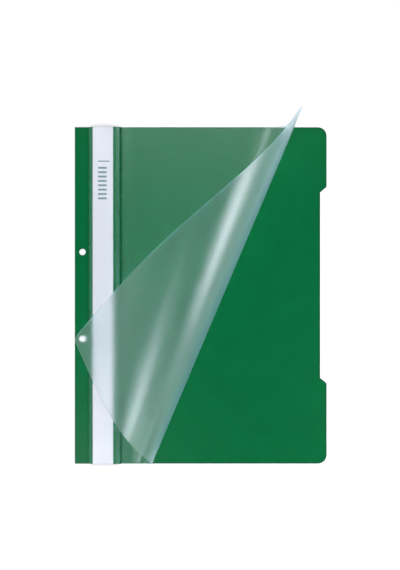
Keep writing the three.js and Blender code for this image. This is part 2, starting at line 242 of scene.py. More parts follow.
class FolderFilmSizes(bpy.types.PropertyGroup):
    """Sizes of the clear film and of its roll"""

    thickness: length("Thickness", "Thickness of the film", 0.25 * MM)
    inset: length("Inset", "How far the film stays inside the sheet's foot and top", 0.6 * MM)
    start: length("Roll start", "Distance from the left edge where the roll starts at the foot", 55.5 * MM)
    angle: FloatProperty(name="Roll angle", description="Angle of the line where the roll starts",
                         default=math.radians(70.65), subtype="ANGLE")
    reach: length("Roll reach", "Distance from the roll's start to the flat rulings' common point", 231 * MM)
    turn: FloatProperty(name="Turn", description="Angle through which the film rolls back",
                        default=math.radians(221.5), subtype="ANGLE")
    onset: FloatProperty(name="Onset", description="How gently the roll starts", default=0.25, min=0)
    fade: FloatProperty(name="Fade", description="How gently the roll ends at its free corner", default=2.65,
                        min=0)
    corner_gap: length("Corner gap", "Height of the free corner over the strip", 0.8 * MM)
    descent: length("Descent", "Distance in which the film comes down from the strip", 11 * MM)
    rows: IntProperty(name="Rows", description="Steps of the mesh up the page", default=96, min=8)
    columns: IntProperty(name="Columns", description="Steps of the mesh across the page", default=132, min=8)
    weld_from: length("Weld start", "Distance from the left edge where the pocket's weld starts", 38.1 * MM)
    weld_to: length("Weld end", "Distance from the left edge where the pocket's weld ends", 41.2 * MM)


class FolderColours(bpy.types.PropertyGroup):
    """Colours of the folder's finishes"""

    green: colour("Green", "Colour of the sheets", (0.0005, 0.149, 0.042))
    green_deep: colour("Deep green", "Colour of the sheets' darker grain", (0.0003, 0.139, 0.038))
    # Darker green that paints shade along cut edges, folds and the film's crease, and colours the carrier's
    # weld marks
    green_shade_and_weld: colour("Rim green", "Colour of the pressed rims and folds", (0.0010, 0.088, 0.026))
    haze: colour("Film haze", "Colour that the film scatters", (0.42, 0.90, 1.0))
    clear: colour("Film tint", "Colour that the film lets through", (0.972, 0.982, 0.982))
    paper: colour("Label paper", "Colour of the label", (0.705, 0.675, 0.685))
    ink: colour("Label print", "Colour of the label's stripes and rule", (0.16, 0.24, 0.24))
    steel: colour("Steel", "Colour of the prongs", (0.60, 0.585, 0.55))
    plastic: colour("White plastic", "Colour of the bar and its locks", (0.80, 0.82, 0.815))


class FolderStudioSettings(bpy.types.PropertyGroup):
    """Camera, lamps and floor"""

    camera: FloatVectorProperty(name="Camera", description="Place of the camera",
                                default=(-0.0007, 0.0096, 0.6), size=3, subtype="TRANSLATION")
    lens: FloatProperty(name="Lens", description="Focal length in millimetres", default=41.085)
    lamp_level: FloatProperty(name="Lamp level", description="Factor on every lamp's power", default=1.0)
    floor: length("Floor", "Side of the square floor", 6.0)
    horizon: FloatProperty(name="Horizon", description="Strength of the world near the horizon", default=0.8)
    zenith: FloatProperty(name="Zenith", description="Strength of the world overhead", default=0.0)
    floor_lift: FloatProperty(name="Floor lift", description="Light that the floor adds to its own picture",
                              default=0.40)


def new_object(name, mesh):
    """A mesh as an object of the scene."""
    made = bpy.data.objects.new(name, mesh)
    bpy.context.scene.collection.objects.link(made)
    return made


def finished(name, bm, finishes, body, replaced=(), smooth=True):
    """Turns a bmesh into a piece with its finishes, which rides on a body if one is named."""
    bmesh.ops.remove_doubles(bm, verts=bm.verts, dist=MERGE)
    bmesh.ops.recalc_face_normals(bm, faces=bm.faces)
    mesh = bpy.data.meshes.new(name)
    bm.to_mesh(mesh)
    bm.free()
    for finish in finishes:
        mesh.materials.append(finish)
    mesh.polygons.foreach_set("use_smooth", [smooth] * len(mesh.polygons))
    if smooth:
        mesh.set_sharp_from_angle(angle=SMOOTH_ANGLE)
    piece = new_object(name, mesh)
    if body:
        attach(piece, body)
    if replaced:
        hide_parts(*replaced)
    return piece


# Outlines and sheets

def rounded_outline(corners, steps=10):
    """Points around corners, each (x, y, radius), with an arc at each corner that has a radius."""
    points = []
    count = len(corners)
    for i, (x, y, radius) in enumerate(corners):
        here = Vector((x, y))
        if radius <= 0:
            points.append(here)
            continue
        before = (Vector(corners[i - 1][:2]) - here).normalized()
        after = (Vector(corners[(i + 1) % count][:2]) - here).normalized()
        half = before.angle(after) / 2
        reach = radius / math.tan(half)
        centre = here + (before + after).normalized() * radius / math.sin(half)
        start = here + before * reach - centre
        end = here + after * reach - centre
        for step in range(steps + 1):
            points.append(centre + start.slerp(end, step / steps) * radius)
    return points


def circle(x, y, radius, steps=48):
    """Points around a hole, clockwise."""
    turns = (-2 * math.pi * i / steps for i in range(steps))
    return [Vector((x + radius * math.cos(t), y + radius * math.sin(t))) for t in turns]


def inset_loop(points, distance):
    """The same loop moved towards the material on its left by a distance."""
    moved = []
    count = len(points)
    for i, here in enumerate(points):
        before = (here - points[i - 1]).normalized()
        after = (points[(i + 1) % count] - here).normalized()
        normal = Vector((-before.y - after.y, before.x + after.x))
        share = max(LEAST_MITRE, normal.length / 2)
        moved.append(here + normal.normalized() * distance / share)
    return moved


def sheet_mesh(outline, holes, low, high, rim, rounding):
    """A flat sheet with rounded cut edges and a rim along each of them, as its own faces for material 1, the
    painted shade along the edges.
    """
    bm = bmesh.new()
    rings = [(0.0, low + rounding), (0.0, high - rounding)]
    turns = (math.radians(a) for a in EDGE_TURNS)
    top = [(rounding * (1 - math.cos(t)), high - rounding * (1 - math.sin(t))) for t in turns]
    bottom = [(inset, low + high - z) for inset, z in top]
    profile = [*reversed(bottom), *rings, *top]
    inner_top, inner_bottom = [], []
    for loop in (outline, *holes):
        levels = []
        for inset, z in profile:
            levels.append([bm.verts.new((p.x, p.y, z)) for p in inset_loop(loop, inset)])
        inset_points = inset_loop(loop, rim)
        levels.insert(0, [bm.verts.new((p.x, p.y, low)) for p in inset_points])
        levels.append([bm.verts.new((p.x, p.y, high)) for p in inset_points])
        for lower, upper in zip(levels, levels[1:]):
            for i in range(len(loop)):
                k = (i + 1) % len(loop)
                bm.faces.new((lower[i], lower[k], upper[k], upper[i])).material_index = 1
        inner_bottom.append(levels[0])
        inner_top.append(levels[-1])
    for loops in (inner_bottom, inner_top):
        edges = [bm.edges.get((ring[i - 1], ring[i])) for ring in loops for i in range(len(ring))]
        bmesh.ops.triangle_fill(bm, use_beauty=True, use_dissolve=False, edges=edges)
    return bm


# Sections run along the page

def section_of(node):
    """The lower and the upper line of a thin strip's section, as (x, z) points from left to right."""
    points = [v.co for v in frame["nodes"][node].data.vertices]
    end = min(p.y for p in points)
    heights = {}
    for p in points:
        if p.y < end + TOUCH:
            heights.setdefault(round(p.x, 6), []).append(p.z)
    places = sorted(heights)
    return [(x, min(heights[x])) for x in places], [(x, max(heights[x])) for x in places]


def strip_mesh(lower, upper, foot, top, rounding):
    """A thin strip with that section, from one height on the page to another, with rounded side edges."""
    bm = bmesh.new()

    def nosed(line_a, line_b):
        """Points around one side edge, from the first line's end to the second's."""
        middle = (Vector(line_a) + Vector(line_b)) / 2
        out = Vector((line_a[0] - line_b[0], line_a[1] - line_b[1]))
        side = Vector((-out.y, out.x)).normalized() * rounding
        return [middle + out * SIDE_SHARE + side, middle - out * SIDE_SHARE + side]

    right = nosed(lower[-1], upper[-1])
    left = nosed(upper[0], lower[0])
    section = [*map(Vector, lower), *right, *map(Vector, reversed(upper)), *left]
    inner = rounding + END_BAND
    stations = [(foot, rounding), (foot + rounding, 0.0), (foot + inner, 0.0)]
    stations += [(top - inner, 0.0), (top - rounding, 0.0), (top, rounding)]
    half = (upper[0][1] - lower[0][1]) / 2
    loops = []
    count = len(lower)
    for y, shrink in stations:
        loop = []
        for i, p in enumerate(section):
            z = p.y
            if i < count:
                z += min(shrink, half * END_SHARE)
            elif count + 2 <= i < 2 * count + 2:
                z -= min(shrink, half * END_SHARE)
            loop.append(bm.verts.new((p.x, y, z)))
        loops.append(loop)
    for a, b in zip(loops, loops[1:]):
        for i in range(len(section)):
            k = (i + 1) % len(section)
            bm.faces.new((a[i], a[k], b[k], b[i]))
    for loop in (loops[0], loops[-1]):
        caps = zip(loop[:count - 1], loop[1:count], reversed(loop[count + 2:2 * count + 1]),
                   reversed(loop[count + 3:2 * count + 2]))
        for a, b, c, d in caps:
            bm.faces.new((a, b, c, d))
        bm.faces.new((loop[count - 1], loop[count], loop[count + 1], loop[count + 2]))
        bm.faces.new((loop[2 * count + 1], loop[2 * count + 2], loop[2 * count + 3], loop[0]))
    return bm


def bead_mesh(places, foot, top):
    """A solid run along the page whose section is a loop of (x, z) points."""
    bm = bmesh.new()
    ends = [[bm.verts.new((x, y, z)) for x, z in places] for y in (foot, top)]
    for i in range(len(places)):
        k = (i + 1) % len(places)
        bm.faces.new((ends[0][i], ends[0][k], ends[1][k], ends[1][i]))
    for loop in ends:
        bm.faces.new(loop)
    return bm


def low_arch(start, end, base, rise, steps=8):
    """A loop of (x, z) points: a flat base and a low arch over it."""
    arch = []
    for i in range(steps + 1):
        share = i / steps
        arch.append((end + (start - end) * share, base + rise * math.sin(math.pi * share) ** ARCH_FULLNESS))
    return arch


# The film's roll: a sheet bent about rulings from one point, then raised towards its free corner

class FilmRoll:
    """Places on the rolled film, from distances on the flat sheet from its left edge and its foot."""

    STEPS = 360

    def __init__(self, sizes, rest, crease, strip_top):
        self.sizes = sizes
        self.rest = rest
        self.crease = crease
        self.apex = np.array([
            sizes.start - sizes.reach * math.cos(sizes.angle), -sizes.reach * math.sin(sizes.angle),
        ])
        self.span = sizes.angle - math.atan2(-self.apex[1], WIDTH - self.apex[0])
        self.frames = self.turned_frames()
        corner = self.rolled(np.array([WIDTH]), np.array([0.0]), 0.0)[0][0, 2]
        self.lift = strip_top + sizes.corner_gap - rest - corner

    def turned_frames(self):
        """The ruling, the direction across it and the normal, at even steps through the roll."""
        sizes = self.sizes
        axes = np.array([
            [math.cos(sizes.angle), math.sin(sizes.angle), 0],
            [math.sin(sizes.angle), -math.cos(sizes.angle), 0],
            [0, 0, 1],
        ])
        step = self.span / self.STEPS
        middles = (np.arange(self.STEPS) + 0.5) / self.STEPS
        bends = middles ** sizes.onset * (1 - middles) ** sizes.fade
        bends *= sizes.turn / (step * bends.sum())
        frames = [axes]
        for bend in bends:
            axis = axes[2] + bend * axes[0]
            size = np.linalg.norm(axis)
            angle = -size * step
            axis = axis / size
            axes = (
                axes * math.cos(angle)
                + np.cross(axis, axes) * math.sin(angle)
                + np.outer(axes @ axis, axis) * (1 - math.cos(angle))
            )
            frames.append(axes)
        return np.array(frames)

    def rolled(self, x, y, offset):
        """Rolled places of flat ones, at an offset from the film's middle, and their shares of the roll."""
        dx, dy = x - self.apex[0], y - self.apex[1]
        share = (self.sizes.angle - np.arctan2(dy, dx)) / self.span
        place = np.clip(share, 0, 1) * self.STEPS
        low = np.minimum(place.astype(int), self.STEPS - 1)
        part = (place - low)[..., None]
        along = self.frames[low, 0] * (1 - part) + self.frames[low + 1, 0] * part
        normal = self.frames[low, 2] * (1 - part) + self.frames[low + 1, 2] * part
        base = np.array([self.apex[0], self.apex[1], 0.0])
        rolled = base + along * np.hypot(dx, dy)[..., None] + normal * offset
        flat = np.stack([x, y, np.full_like(x, offset)], -1)
        return np.where((share > 0)[..., None], rolled, flat), np.maximum(share, 0)

    def places(self, x, y, offset):
        """Places in the folder's own frame, with the lift that holds the free corner over the strip.

        The lift strains the sheet, most near that corner, so the result isn't exactly developable.
        """
        points, share = self.rolled(x, y, offset)
        fall = np.clip((x - (CREASE.x - LEFT)) / self.sizes.descent, 0, 1)
        descent = (self.crease - self.rest) * (1 - fall * fall * (3 - 2 * fall))
        points[..., 0] += LEFT
        points[..., 1] += FOOT
        points[..., 2] += self.rest + self.lift * share ** 2 + descent
        return points


def film_grid(sizes, start, corner):
    """Distances across and up the flat film for each vertex, with round free corners."""
    foot, top = sizes.inset, HEIGHT - sizes.inset
    curve = (1 - np.cos(np.linspace(0, math.pi / 2, CORNER_POINTS))) * corner
    straight = np.linspace(foot + corner, top - corner, sizes.rows + 1)[1:-1]
    rows = np.concatenate([foot + curve, straight, (top - curve)[::-1]])
    from_end = np.minimum(rows - foot, top - rows)
    short = np.maximum(0, corner - from_end)
    ends = WIDTH - corner + np.sqrt(np.maximum(0, corner ** 2 - short ** 2))
    steps = np.linspace(0, 1, sizes.columns + 1)
    x = start + (ends[:, None] - start) * steps[None, :]
    return x, np.repeat(rows[:, None], len(steps), 1)


def film_mesh(roll, sizes, start, corner):
    """The rolled film as a closed sheet; material 1 is its cut edge and the column of faces beside it,
    hazier to paint a highlight along the free edge.
    """
    x, y = film_grid(sizes, start, corner)
    half = sizes.thickness / 2
    sides = [roll.places(x, y, offset) for offset in (half, -half)]
    bm = bmesh.new()
    grids = [[[bm.verts.new(p) for p in row] for row in side] for side in sides]
    rows, columns = x.shape
    for grid in grids:
        for r in range(rows - 1):
            for c in range(columns - 1):
                face = bm.faces.new((grid[r][c], grid[r][c + 1], grid[r + 1][c + 1], grid[r + 1][c]))
                # The last column takes material 1, a painted highlight along the free edge
                face.material_index = int(c == columns - 2)
    rim = [(0, c) for c in range(columns - 1)]
    rim += [(r, columns - 1) for r in range(rows - 1)]
    rim += [(rows - 1, c) for c in range(columns - 1, 0, -1)]
    rim += [(r, 0) for r in range(rows - 1, 0, -1)]
    for (r, c), (next_r, next_c) in zip(rim, rim[1:] + rim[:1]):
        edge = (grids[0][r][c], grids[0][next_r][next_c], grids[1][next_r][next_c], grids[1][r][c])
        bm.faces.new(edge).material_index = 1
    return bm


# Finishes

def node_finish(name):
    """An empty material, its nodes, its links and its output."""
    material = bpy.data.materials.get(name)
    if material:
        bpy.data.materials.remove(material)
    material = bpy.data.materials.new(name)
    material.use_nodes = True
    nodes, links = material.node_tree.nodes, material.node_tree.links
    nodes.clear()
    return material, nodes, links, nodes.new("ShaderNodeOutputMaterial")


def grain(nodes, links, scale, detail=3.0, stretch=(1, 1, 1)):
    """Noise that keeps to the piece, with a scale in cells per metre."""
    place = nodes.new("ShaderNodeTexCoord")
    mapping = nodes.new("ShaderNodeMapping")
    mapping.inputs["Scale"].default_value = stretch
    noise = nodes.new("ShaderNodeTexNoise")
    noise.inputs["Scale"].default_value = scale
    noise.inputs["Detail"].default_value = detail
    links.new(place.outputs["Object"], mapping.inputs["Vector"])
    links.new(mapping.outputs["Vector"], noise.inputs["Vector"])
    return noise.outputs["Fac"]


def ramp(nodes, links, source, low, high, start=0.35, end=0.65):
    """A blend from one colour to another as a value rises."""
    made = nodes.new("ShaderNodeValToRGB")
    made.color_ramp.elements[0].position = start
    made.color_ramp.elements[0].color = (*low, 1)
    made.color_ramp.elements[1].position = end
    made.color_ramp.elements[1].color = (*high, 1)
    links.new(source, made.inputs["Fac"])
    return made.outputs["Color"]


def spread(nodes, links, source, low, high):
    """A value moved into a range."""
    made = nodes.new("ShaderNodeMapRange")
    made.inputs["To Min"].default_value = low
    made.inputs["To Max"].default_value = high
    links.new(source, made.inputs["Value"])
    return made.outputs["Result"]


def bump(nodes, links, source, distance, strength=1.0):
    """A normal from a height."""
    made = nodes.new("ShaderNodeBump")
    made.inputs["Distance"].default_value = distance
    made.inputs["Strength"].default_value = strength
    links.new(source, made.inputs["Height"])
    return made.outputs["Normal"]


def calculate(nodes, links, operation, *values):
    """The result of a math operation on one to three values, each a number or a socket."""
    made = nodes.new("ShaderNodeMath")
    made.operation = operation
    for socket, value in zip(made.inputs, values):
        if isinstance(value, (int, float)):
            socket.default_value = value
        else:
            links.new(value, socket)
    return made.outputs["Value"]


def within(nodes, links, source, low, high, soft):
    """1 where a value lies between two limits, falling to 0 over a soft width outside them."""
    rise = nodes.new("ShaderNodeMapRange")
    fall = nodes.new("ShaderNodeMapRange")
    for node, start, end in ((rise, low - soft, low), (fall, high + soft, high)):
        node.inputs["From Min"].default_value = start
        node.inputs["From Max"].default_value = end
        links.new(source, node.inputs["Value"])
    return calculate(nodes, links, "MULTIPLY", rise.outputs["Result"], fall.outputs["Result"])


def green_sheet(colours, name="green_sheet", pressed=False):
    """Embossed matt polypropylene sheet. Pressed gives its darker, smoother copy: painted shade along rims,
    folds and the film's crease, and the colour of the carrier's weld marks.
    """
    material, nodes, links, output = node_finish(name)
    shader = nodes.new("ShaderNodeBsdfPrincipled")
    cloud = grain(nodes, links, scale=38, detail=2.0)
    tone = colours.green_shade_and_weld if pressed else colours.green
    deep = colours.green_shade_and_weld if pressed else colours.green_deep
    links.new(ramp(nodes, links, cloud, deep, tone), shader.inputs["Base Color"])
    pores = grain(nodes, links, scale=2600, detail=2.0)
    links.new(spread(nodes, links, pores, low=0.30, high=0.40), shader.inputs["Roughness"])
    links.new(bump(nodes, links, pores, distance=0.000012, strength=0.3), shader.inputs["Normal"])
    shader.inputs["IOR"].default_value = 1.49
    shader.inputs["Specular IOR Level"].default_value = 0.15
    links.new(shader.outputs["BSDF"], output.inputs["Surface"])
    return material


def clear_film(colours, name="clear_film", scatter=0.021, blur=0.38, mirrored=0.048):
    """Frosted clear film that bends, scatters and mirrors light. Scatter is for one face."""
    material, nodes, links, output = node_finish(name)
    clear = nodes.new("ShaderNodeBsdfRefraction")
    clear.inputs["Color"].default_value = (*colours.clear, 1)
    clear.inputs["Roughness"].default_value = blur
    clear.inputs["IOR"].default_value = 1.3
    facing = nodes.new("ShaderNodeLayerWeight")
    facing.inputs["Blend"].default_value = 0.5
    steep = calculate(nodes, links, "POWER", facing.outputs["Facing"], HAZE_POWER)
    cloud = grain(nodes, links, scale=300, detail=4.0)
    cloud = spread(nodes, links, cloud, low=scatter * 0.85, high=scatter * 1.15)
    amount = calculate(nodes, links, "MULTIPLY_ADD", steep, HAZE_GAIN, cloud)

    front = nodes.new("ShaderNodeBsdfDiffuse")
    back = nodes.new("ShaderNodeBsdfTranslucent")
    haze = nodes.new("ShaderNodeMixShader")
    haze.inputs["Fac"].default_value = 0.5
    for shader in (front, back):
        shader.inputs["Color"].default_value = (*colours.haze, 1)
    links.new(front.outputs["BSDF"], haze.inputs[1])
    links.new(back.outputs["BSDF"], haze.inputs[2])
    body = nodes.new("ShaderNodeMixShader")
    links.new(amount, body.inputs["Fac"])
    links.new(clear.outputs["BSDF"], body.inputs[1])
    links.new(haze.outputs["Shader"], body.inputs[2])

    gloss = nodes.new("ShaderNodeBsdfGlossy")
    gloss.inputs["Color"].default_value = (1, 1, 1, 1)
    gloss.inputs["Roughness"].default_value = 0.31
    pores = grain(nodes, links, scale=800, detail=3.0)
    links.new(bump(nodes, links, pores, distance=0.00005, strength=1.0), gloss.inputs["Normal"])
    graze = calculate(nodes, links, "POWER", facing.outputs["Facing"], MIRROR_POWER)
    speckle = grain(nodes, links, scale=900, detail=2.0)
    speckle = spread(nodes, links, speckle, low=mirrored * 0.4, high=mirrored * 1.6)
    mirror = calculate(nodes, links, "MULTIPLY_ADD", graze, MIRROR_GAIN, speckle)
    faced = nodes.new("ShaderNodeMixShader")
    links.new(mirror, faced.inputs["Fac"])
    links.new(body.outputs["Shader"], faced.inputs[1])
    links.new(gloss.outputs["BSDF"], faced.inputs[2])

    light = nodes.new("ShaderNodeLightPath")
    passing = nodes.new("ShaderNodeBsdfTransparent")
    passing.inputs["Color"].default_value = FILM_SHADOW
    through = nodes.new("ShaderNodeMixShader")
    links.new(light.outputs["Is Shadow Ray"], through.inputs["Fac"])
    links.new(faced.outputs["Shader"], through.inputs[1])
    links.new(passing.outputs["BSDF"], through.inputs[2])
    links.new(through.outputs["Shader"], output.inputs["Surface"])
    return material


def label_paper(colours):
    """Smooth paper with a block of plain stripes and a rule over it."""
    material, nodes, links, output = node_finish("label_paper")
    shader = nodes.new("ShaderNodeBsdfPrincipled")
    fibre = grain(nodes, links, scale=900, detail=4.0)
    soft = tuple(c * 0.97 for c in colours.paper)
    base = ramp(nodes, links, fibre, soft, colours.paper)
    place = nodes.new("ShaderNodeTexCoord")
    split = nodes.new("ShaderNodeSeparateXYZ")
    links.new(place.outputs["Object"], split.inputs["Vector"])

    def block(left, right, foot, top):
        """1 inside a rectangle of the label, from the folder's left edge and foot."""
        across = within(nodes, links, split.outputs["X"], LEFT + left, LEFT + right, PRINT_SOFT)
        upward = within(nodes, links, split.outputs["Y"], FOOT + foot, FOOT + top, PRINT_SOFT)
        return calculate(nodes, links, "MULTIPLY", across, upward)

    wave = calculate(nodes, links, "MULTIPLY", split.outputs["Y"], 2 * math.pi / STRIPE_PITCH)
    stripes = calculate(nodes, links, "GREATER_THAN", calculate(nodes, links, "SINE", wave), STRIPE_LEVEL)
    patch = block(PRINT_LEFT, STRIPES_RIGHT, STRIPES_FOOT, STRIPES_TOP)
    patch = calculate(nodes, links, "MULTIPLY", patch, stripes)
    rule = block(PRINT_LEFT, RULE_RIGHT, RULE_FOOT, RULE_TOP)
    printed = calculate(nodes, links, "MAXIMUM", patch, rule)
    mix = nodes.new("ShaderNodeMix")
    mix.data_type = "RGBA"
    mix.inputs["B"].default_value = (*colours.ink, 1)
    links.new(printed, mix.inputs["Factor"])
    links.new(base, mix.inputs["A"])
    links.new(mix.outputs["Result"], shader.inputs["Base Color"])
    links.new(spread(nodes, links, fibre, low=0.72, high=0.85), shader.inputs["Roughness"])
    links.new(bump(nodes, links, fibre, distance=0.00001, strength=0.4), shader.inputs["Normal"])
    links.new(shader.outputs["BSDF"], output.inputs["Surface"])
    return material


def prong_steel(colours):
    """Rolled steel strip, brushed along its length."""
    material, nodes, links, output = node_finish("prong_steel")
    shader = nodes.new("ShaderNodeBsdfPrincipled")
    shader.inputs["Metallic"].default_value = 1.0
    brushed = grain(nodes, links, scale=5000, detail=3.0, stretch=(1, 0.04, 1))
    dull = tuple(c * 0.8 for c in colours.steel)
    links.new(ramp(nodes, links, brushed, dull, colours.steel), shader.inputs["Base Color"])
    links.new(spread(nodes, links, brushed, low=0.26, high=0.42), shader.inputs["Roughness"])
    links.new(bump(nodes, links, brushed, distance=0.000006, strength=0.5), shader.inputs["Normal"])
    links.new(shader.outputs["BSDF"], output.inputs["Surface"])
    return material


def white_plastic(colours):
    """Satin moulded plastic."""
    material, nodes, links, output = node_finish("white_plastic")
    shader = nodes.new("ShaderNodeBsdfPrincipled")
    cloud = grain(nodes, links, scale=120, detail=2.0)
    shade = tuple(c * 0.95 for c in colours.plastic)
    links.new(ramp(nodes, links, cloud, shade, colours.plastic), shader.inputs["Base Color"])
    pores = grain(nodes, links, scale=3200, detail=2.0)
    links.new(spread(nodes, links, pores, low=0.38, high=0.48), shader.inputs["Roughness"])
    links.new(bump(nodes, links, pores, distance=0.000008, strength=0.4), shader.inputs["Normal"])
    links.new(shader.outputs["BSDF"], output.inputs["Surface"])
    return material


def dress(node, finish, bevel=0.08 * MM):
    """Gives a node of the frame its finish and softens its edges."""
    piece = frame["nodes"][node]
    if not piece.material_slots:
        raise RuntimeError(f"{node} has no material slot")
    for place in piece.material_slots:
        place.material = finish
    weld = piece.modifiers.new("joined", "WELD")
    weld.merge_threshold = TOUCH
    soft = piece.modifiers.new("soft_edges", "BEVEL")
    soft.width = bevel
    soft.segments = 2
    soft.limit_method = "ANGLE"
    soft.angle_limit = BEVEL_ANGLE
    soft.use_clamp_overlap = True
    return piece


# Operators

class FolderOperator(bpy.types.Operator):
    """What the folder's operators share"""

    bl_options = {"REGISTER", "UNDO"}


class FOLDER_OT_sheets(FolderOperator):
    """Make the back cover and the filing margin, with rounded edges, rims of painted edge shade and holes"""

    bl_idname = "folder.make_sheets"
    bl_label = "Back Cover and Margin"

    def execute(self, context):
        sizes, colours = context.scene.folder_sheets, context.scene.folder_colours
        # The second finish is the darker green of painted shade along the cut edges
        finishes = [green_sheet(colours), green_sheet(colours, "shade_and_weld_green", pressed=True)]
        right, top = BACK_HIGH.x, BACK_HIGH.y
        cut_foot = FOOT + sizes.cut_foot
        cut_top = cut_foot + sizes.cut_length
        cut_x = right - sizes.cut_depth
        outline = rounded_outline([
            (LEFT, FOOT, 0),
            (right, FOOT, sizes.corner),
            (right, cut_foot, sizes.cut_rounding),
            (cut_x, cut_foot + sizes.cut_slant, sizes.cut_rounding),
            (cut_x, cut_top - sizes.cut_slant, sizes.cut_rounding),
            (right, cut_top, sizes.cut_rounding),
            (right, top, sizes.corner),
            (LEFT, top, 0),
        ])
        across = LEFT + sizes.hole_inset
        holes = [circle(across, side * sizes.hole_spacing / 2, sizes.hole / 2) for side in (-1, 1)]
        back = sheet_mesh(outline, holes, BACK_LOW.z, BACK_HIGH.z, sizes.rim, sizes.rounding)
        finished("back_sheet", back, finishes, "folder", ["back_cover"])
        edge = MARGIN_HIGH.x
        band = [Vector(p) for p in ((LEFT, FOOT), (edge, FOOT), (edge, top), (LEFT, top))]
        margin = sheet_mesh(band, holes, MARGIN_LOW.z, MARGIN_HIGH.z, sizes.rim * MARGIN_RIM, sizes.rounding)
        finished("margin_sheet", margin, finishes, "folder", ["filing_margin"])
        return {"FINISHED"}


class FOLDER_OT_flap(FolderOperator):
    """Make the label flap with its living hinge and its label"""

    bl_idname = "folder.make_flap"
    bl_label = "Label Flap and Label"

    def execute(self, context):
        sizes, colours = context.scene.folder_sheets, context.scene.folder_colours
        green = bpy.data.materials["green_sheet"]
        pressed = bpy.data.materials["shade_and_weld_green"]
        lower, upper = section_of("label_flap")
        flap = strip_mesh(lower, upper, FLAP_LOW.y, FLAP_HIGH.y, sizes.rounding)
        finished("flap_sheet", flap, [green], "front_strip", ["label_flap"])
        lower, upper = section_of("label_insert")
        label = strip_mesh(lower, upper, LABEL_LOW.y, LABEL_HIGH.y, THIN_ROUNDING)
        finished("label_sheet", label, [label_paper(colours)], "label", ["label_insert"])
        # A dark bead along the fold paints the shade of the living hinge
        arch = low_arch(FOLD.x - HINGE_HALF, FOLD.x + HINGE_HALF, FOLD.z + BEAD_GAP, HINGE_RISE)
        hinge = finished("strip_hinge_shade", bead_mesh(arch, FOOT, -FOOT), [pressed], None)
        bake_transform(hinge)
        return {"FINISHED"}


class FOLDER_OT_film(FolderOperator):
    """Make the rolled front cover, the label pocket and a dark bead of painted shade along their crease"""

    bl_idname = "folder.make_film"
    bl_label = "Clear Film"

    def execute(self, context):
        sizes, colours = context.scene.folder_film, context.scene.folder_colours
        film = clear_film(colours)
        # Hazier film for the cut edge and the column beside it: a painted highlight of the glow along the
        # free edge
        edge = clear_film(colours, "film_edge_glow", scatter=0.10, blur=0.4)
        seam = clear_film(colours, "film_weld", scatter=0.012, blur=0.4, mirrored=0.03)
        pocket_film = clear_film(colours, "pocket_film", scatter=0.018, blur=0.15, mirrored=0.018)
        rest = COVER_LOW.z + sizes.thickness / 2
        lower, upper = section_of("pocket_film")
        crease = (lower[-1][1] + upper[-1][1]) / 2
        roll = FilmRoll(sizes, rest, crease, POCKET_HIGH.z)
        start = CREASE.x - LEFT + (CREASE.x - POCKET_HIGH.x)
        sheet = film_mesh(roll, sizes, start, context.scene.folder_sheets.corner)
        cover = finished("rolled_film", sheet, [film, edge], "cover", ["front_cover"])
        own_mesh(cover)
        foot, top = POCKET_LOW.y + sizes.inset, POCKET_HIGH.y - sizes.inset
        pocket = strip_mesh(lower, upper, foot, top, THIN_ROUNDING)
        finished("pocket_sheet", pocket, [pocket_film], "front_strip", ["pocket_film"])
        self.weld_seam(sizes, upper, seam)
        # A dark bead over the crease paints the shade along the film's fold
        base = upper[-1][1] + BEAD_GAP
        arch = low_arch(CREASE.x - CREASE_HALF, CREASE.x + CREASE_HALF, base, CREASE_RISE)
        ridge = bead_mesh(arch, FOOT + sizes.inset, -FOOT - sizes.inset)
        fold = finished("film_crease_shade", ridge, [bpy.data.materials["shade_and_weld_green"]], None)
        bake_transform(fold)
        return {"FINISHED"}

    def weld_seam(self, sizes, upper, finish):
        """The pressed band where the pocket's film is joined to the flap."""
        start, end = LEFT + sizes.weld_from, LEFT + sizes.weld_to
        places = [(x, z) for x, z in upper if start <= x <= end]
        low = [(x, z + SEAM_GAP) for x, z in places]
        high = [(x, z + SEAM_HEIGHT) for x, z in places]
        band = strip_mesh(low, high, FOOT + sizes.inset, -FOOT - sizes.inset, SEAM_ROUNDING)
        finished("weld_seam", band, [finish], "front_strip")


